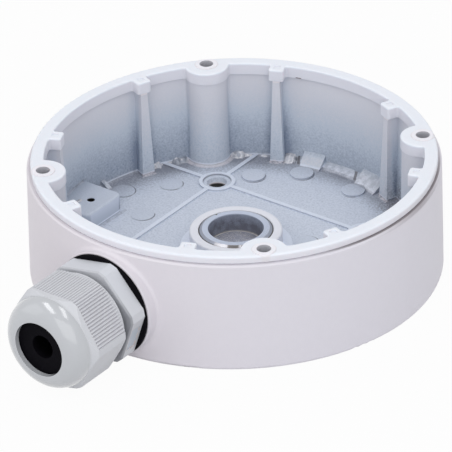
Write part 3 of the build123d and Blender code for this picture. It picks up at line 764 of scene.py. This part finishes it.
# Ragged metal that the casting left in the corner between wall and floor
flash = {
    "wall": 62.5,           # radius, just inside the metal
    "foot": 4.8,            # height, just under the floor
    "fullness": 0.72,       # the ripples add to a reach or height, and this takes it back
    "stretches": [
        # angles of the start and the end, reach from the wall, height
        (106.2, 110.9, 4.2, 2.6),
        (114.4, 125.4, 1.5, 1.3),
        (123.4, 128.4, 2.6, 2.4),
        (141.4, 147.6, 2.6, 2.0),
        (146.0, 152.6, 1.4, 1.3),
        (151.2, 155.2, 2.6, 2.2),
        (160.2, 171.2, 0.9, 0.9),
        (176.0, 182.0, 1.0, 0.9),
        (24.0, 38.0, 1.0, 1.0),
        (52.0, 64.0, 1.2, 1.2),
        (232.0, 246.0, 1.0, 0.9),
        (318.0, 333.0, 1.0, 0.9),
    ],
    "seed": 7,
    "nub": (-54.8, -14.9, 12.0),    # its centre, on the earthing block
    "nubHalf": (0.8, 1.5, 0.55),    # half of its sizes
}


def flashStretch(number, start, end, reach, height):
    # Along an arc at the foot of the wall, the section is a quarter of a rounded star with its corner
    # in the casting: at each turn of its edge from the floor to the wall the distance is reach or height,
    # times a ripple of the angle, times a ripple of both. It fades to nothing at both ends
    steps = int((end - start) * 10)
    angle = np.radians(np.linspace(start, end, steps))
    way = np.linspace(0, 1, steps)
    fade = np.clip(np.minimum(way, 1 - way) * 5, 0, 1) ** 0.6
    lumps = 0.85 + 0.3 * ripple(angle * 60, flash["seed"] + number, 0.5, 5)
    turn = np.linspace(0, pi / 2, 12)
    skin = 1 + 0.08 * ripple(angle[:, None] * 60 + turn * 4, flash["seed"] + 50 + number, 0.9, 4)
    size = 0.5 + (fade * lumps)[:, None] * skin * (1 - 0.28 * np.sin(2 * turn))
    inwards = np.hstack([np.zeros((steps, 1)), size * reach * np.cos(turn)])
    upwards = np.hstack([np.zeros((steps, 1)), size * height * np.sin(turn)])
    out = flash["wall"] - inwards * flash["fullness"]
    x = out * np.cos(angle)[:, None]
    y = out * np.sin(angle)[:, None]
    z = flash["foot"] + upwards * flash["fullness"]
    meshPiece(f"castFlash{number}", np.stack([x, y, z], axis=-1), rawMetal, "box")


def nub(name, centre, half):
    # A pebble: rings of latitude from the lowest to the highest, stretched by three half sizes
    latitude = np.linspace(-pi / 2 + 0.2, pi / 2 - 0.2, 12)[:, None]
    around = np.linspace(0, 2 * pi, 24, endpoint=False)
    rough = 1 + 0.08 * ripple(around * 2 + latitude * 3, flash["seed"], 1.0, 4)
    x = centre[0] + half[0] * rough * np.cos(latitude) * np.cos(around)
    y = centre[1] + half[1] * rough * np.cos(latitude) * np.sin(around)
    z = centre[2] + half[2] * np.sin(latitude) + 0 * around
    meshPiece(name, np.stack([x, y, z], axis=-1), rawMetal, "box")


for number, settings in enumerate(flash["stretches"], start=1):
    flashStretch(number, *settings)
nub("castNub", flash["nub"], flash["nubHalf"])
print("casting flash:", len(flash["stretches"]), "stretches")


# Camera: where the photo was taken from, with a long lens and a slight roll
photo = {
    "azimuth": 37.27,
    "elevation": 30.27,
    "roll": 1.536,
    "distance": 1.3506,
    "focal": 4099.0,        # pixels
    "frame": 452,           # pixels
    "sensor": 36.0,
    "aim": (-3.26, -23.97),  # of the view's centre from the middle of the gasket, to the right and up
}


def setCamera():
    # Looks against "back", which leans up from the floor by the elevation and round by the azimuth
    azimuth = radians(photo["azimuth"])
    elevation = radians(photo["elevation"])
    roll = radians(photo["roll"])
    back = Vector((sin(azimuth) * cos(elevation), -cos(azimuth) * cos(elevation), sin(elevation)))
    right = Vector((cos(azimuth), sin(azimuth), 0))
    up = back.cross(right)
    aimRight, aimUp = photo["aim"]
    aim = Vector((0, 0, gasket["topHeight"])) + aimRight * right + aimUp * up
    rolledRight = cos(roll) * right - sin(roll) * up
    rolledUp = sin(roll) * right + cos(roll) * up
    data = bpy.data.cameras.new("photoCamera")
    data.sensor_width = photo["sensor"]
    data.lens = photo["focal"] * photo["sensor"] / photo["frame"]
    camera = bpy.data.objects.new("photoCamera", data)
    turn = Matrix((rolledRight, rolledUp, back)).transposed().to_4x4()
    camera.matrix_world = Matrix.Translation(aim * mm + back * photo["distance"]) @ turn
    bpy.context.scene.collection.objects.link(camera)
    bpy.context.scene.camera = camera


setCamera()


# Studio: a pale tent of even light with a soft lamp in front, and two long overhead strips that only
# mirrors see, which give the gland's dome its highlights
studio = {
    "sky": paint(252, 252, 253),
    "skyStrength": 0.88,
    "floorColour": (0.60, 0.60, 0.61, 1.0),
    "floorWhite": 0.96,    # share of plain white that the camera sees on the floor
    "underBox": 67.0,       # radius of the painted shadow patch under the box, seen only through its holes
    "underShadow": (0.01, 0.01, 0.01, 1.0),
    "floorSize": 3.0,
    "lamps": [
        # name, from the object towards the lamp, distance, direction of its length, width, length,
        # brightness, and whether it lights or is only mirrored
        ("softFront", (0.6, -0.8, 0.55), 1.4, (0.8, 0.6, 0.0), 1.2, 1.5, 0.9, True),
        ("softLeft", (-0.8, -0.6, 0.5), 1.4, (-0.6, 0.8, 0.0), 1.0, 1.0, 0.42, True),
        ("stripNear", (-0.33, -0.27, 1.0), 0.85, (0.63, -0.78, 0.0), 0.2, 0.7, 3.3, False),
        ("stripFar", (0.22, 0.13, 1.0), 0.85, (0.63, -0.78, 0.0), 0.2, 0.64, 2.7, False),
    ],
}


def addLamp(name, towards, distance, lengthways, width, length, brightness, lights):
    # Rectangular lamp that faces the object; its power follows from its area and brightness
    data = bpy.data.lights.new(name, "AREA")
    data.shape = "RECTANGLE"
    data.size = width
    data.size_y = length
    data.energy = 4 * brightness * width * length
    lamp = bpy.data.objects.new(name, data)
    away = Vector(towards).normalized()
    along = Vector(lengthways)
    along = (along - along.dot(away) * away).normalized()
    facing = Matrix((along.cross(away), along, away)).transposed().to_4x4()
    lamp.matrix_world = Matrix.Translation(away * distance) @ facing
    lamp.visible_diffuse = lights
    bpy.context.scene.collection.objects.link(lamp)


def setWorld():
    # Even tent light; where the camera looks past the floor it sees plain white
    world = bpy.data.worlds.new("tent")
    world.use_nodes = True
    tree = world.node_tree
    sky = tree.nodes["Background"]
    sky.inputs["Color"].default_value = studio["sky"]
    sky.inputs["Strength"].default_value = studio["skyStrength"]
    start = Wire(tree, sky.outputs[0])
    seen = start.add("LightPath")
    white = start.add("Background", {}, {"Color": (1, 1, 1, 1), "Strength": 1.0})
    surface = start.add("MixShader", {}, {0: seen, 1: start, 2: white})
    tree.links.new(surface.socket, tree.nodes["World Output"].inputs["Surface"])
    bpy.context.scene.world = world


def setFloor():
    # Pale floor: for the camera and for mirrors it is mostly plain white and keeps a soft shadow. The patch
    # under the box is painted near black as shadow for the camera. From below it is clear, and so is the
    # patch under the box to light, so the underside can be seen
    half = studio["floorSize"] / 2
    mesh = bpy.data.meshes.new("studioFloor")
    corners = [(-half, -half, 0), (half, -half, 0), (half, half, 0), (-half, half, 0)]
    mesh.from_pydata(corners, [], [(0, 1, 2, 3)])
    material, shader, here = newFinish("floor_paper")
    tree = material.node_tree
    x, y, z = split(here)
    openFloor = between(x, y, 0, 0).rise(studio["underBox"] - 1, studio["underBox"])
    paperColour = openFloor.pick(studio["underShadow"], studio["floorColour"])
    dress(shader, {"Base Color": paperColour, "Roughness": 0.9, "Specular IOR Level": 0.0})
    paper = Wire(tree, shader.outputs[0])
    path = paper.add("LightPath").socket.node
    seen = Wire(tree, path.outputs["Is Camera Ray"]).most(Wire(tree, path.outputs["Is Glossy Ray"]))
    seen = seen.most(Wire(tree, path.outputs["Is Transmission Ray"]))
    white = paper.add("Emission", {}, {"Color": (1, 1, 1, 1), "Strength": 1.0})
    above = paper.add("MixShader", {}, {0: seen * openFloor * studio["floorWhite"], 1: paper, 2: white})
    clear = paper.add("BsdfTransparent")
    below = Wire(tree, paper.add("NewGeometry").socket.node.outputs["Backfacing"])
    through = (1 - Wire(tree, path.outputs["Is Camera Ray"])) * (1 - openFloor)
    surface = paper.add("MixShader", {}, {0: below.most(through), 1: above, 2: clear})
    tree.links.new(surface.socket, tree.nodes["Material Output"].inputs["Surface"])
    mesh.materials.append(material)
    floor = bpy.data.objects.new("studioFloor", mesh)
    bpy.context.scene.collection.objects.link(floor)


for settings in studio["lamps"]:
    addLamp(*settings)
setWorld()
setFloor()
bpy.context.scene.view_settings.view_transform = "Standard"
print("camera, lamps and floor")
